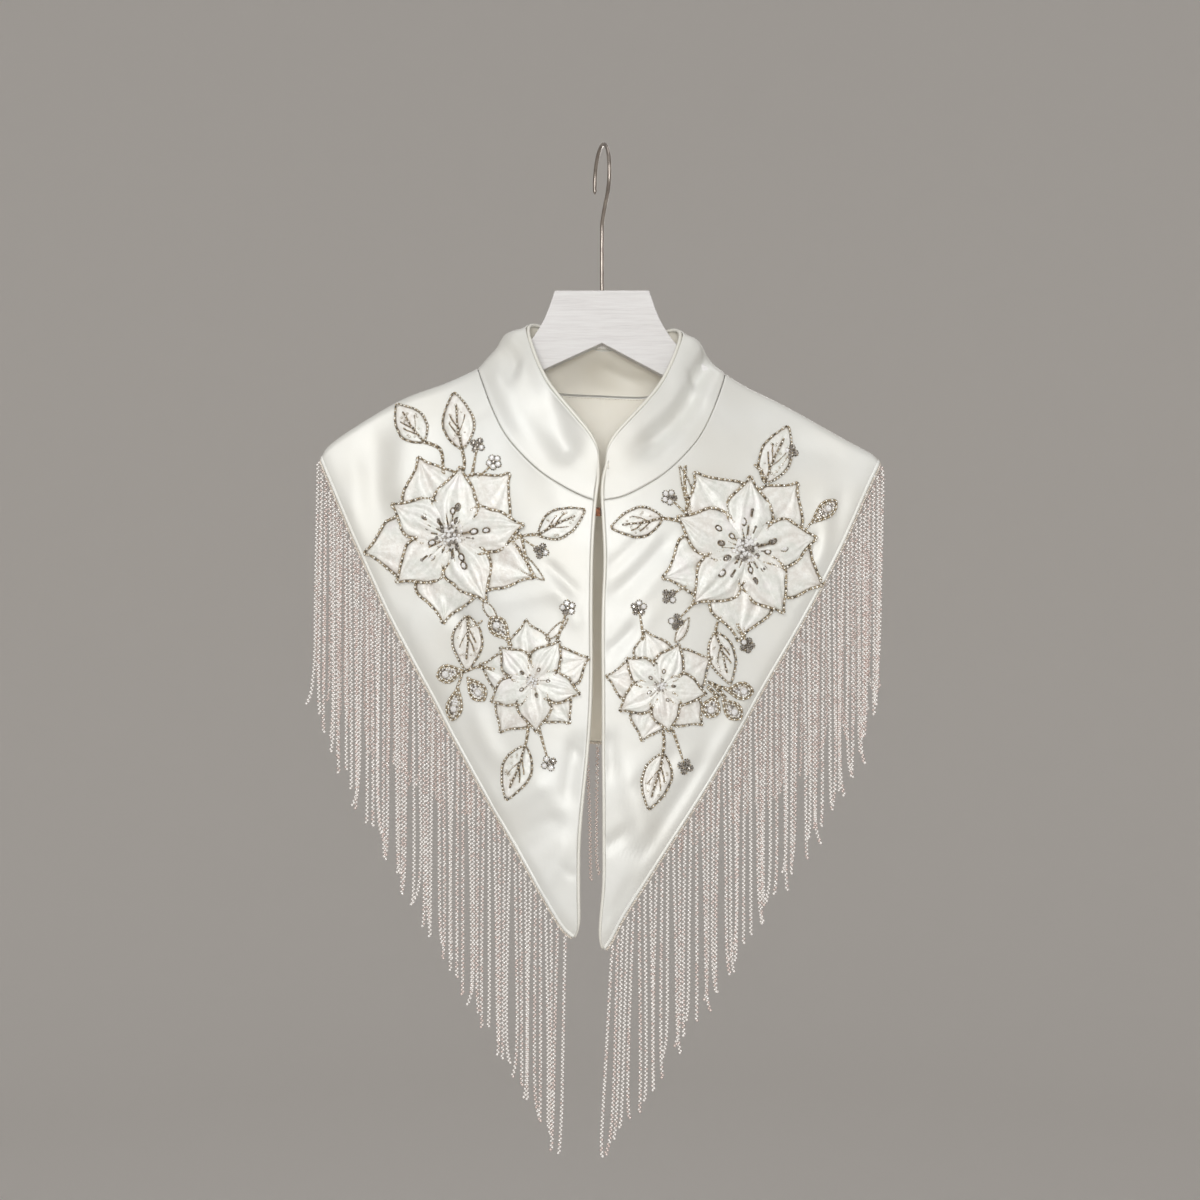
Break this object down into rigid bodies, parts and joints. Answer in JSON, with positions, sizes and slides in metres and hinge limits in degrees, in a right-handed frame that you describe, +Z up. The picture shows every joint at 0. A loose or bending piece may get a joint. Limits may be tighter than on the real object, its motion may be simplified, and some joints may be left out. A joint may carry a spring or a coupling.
{
  "type": "fringed capelet on a wooden clothes hanger",
  "caption": "Ivory satin capelet with a stand collar, two pointed fronts, flower applique and beaded fringe, hung on a flat white wooden hanger with a wire hook.",
  "frame": {"origin": "inner top of the hanger's hook, where a rod carries it", "axes": "+Z up, -Y towards the front of the cape, +X to the right of someone who looks at the front"},
  "size_m": [0.471, 0.102, 0.817],
  "materials": {
    "ivory_satin": "satin weave over interlining, ivory",
    "ivory_piping": "satin bias over cord",
    "pearl_organza": "pearly organza edged with twisted beads",
    "clear_stone": "faceted clear stones in a beaded rim",
    "silver_beads": "silver lined glass seed beads on thread",
    "white_wood": "white wash, fine grain",
    "brushed_wire": "warm nickel",
    "dark_bronze": "dark bronze"
  },
  "bodies": {
    "root": {"hanger_body": "white_wood", "hanger_hook": "brushed_wire", "front_left": "ivory_satin", "front_right": "ivory_satin", "back": "ivory_satin", "collar": "ivory_satin", "piping": "ivory_piping", "fringe_front_left": "silver_beads", "fringe_front_right": "silver_beads", "fringe_back_left": "silver_beads", "fringe_back_right": "silver_beads", "flower_left_large": "pearl_organza", "flower_left_small": "pearl_organza", "flower_right_large": "pearl_organza", "flower_right_small": "pearl_organza", "leaf_left_upper_outer": "pearl_organza", "leaf_left_upper_inner": "pearl_organza", "leaf_left_front": "pearl_organza", "leaf_left_middle": "pearl_organza", "leaf_left_lower": "pearl_organza", "leaf_right_upper": "pearl_organza", "leaf_right_front": "pearl_organza", "leaf_right_middle": "pearl_organza", "leaf_right_lower": "pearl_organza", "stone_left_1": "clear_stone", "stone_left_2": "clear_stone", "stone_left_3": "clear_stone", "stone_left_4": "clear_stone", "stone_right_1": "clear_stone", "stone_right_2": "clear_stone", "stone_right_3": "clear_stone", "stone_right_4": "clear_stone", "clasp_hook": "dark_bronze", "clasp_eye": "dark_bronze"}
  },
  "joints": []
}
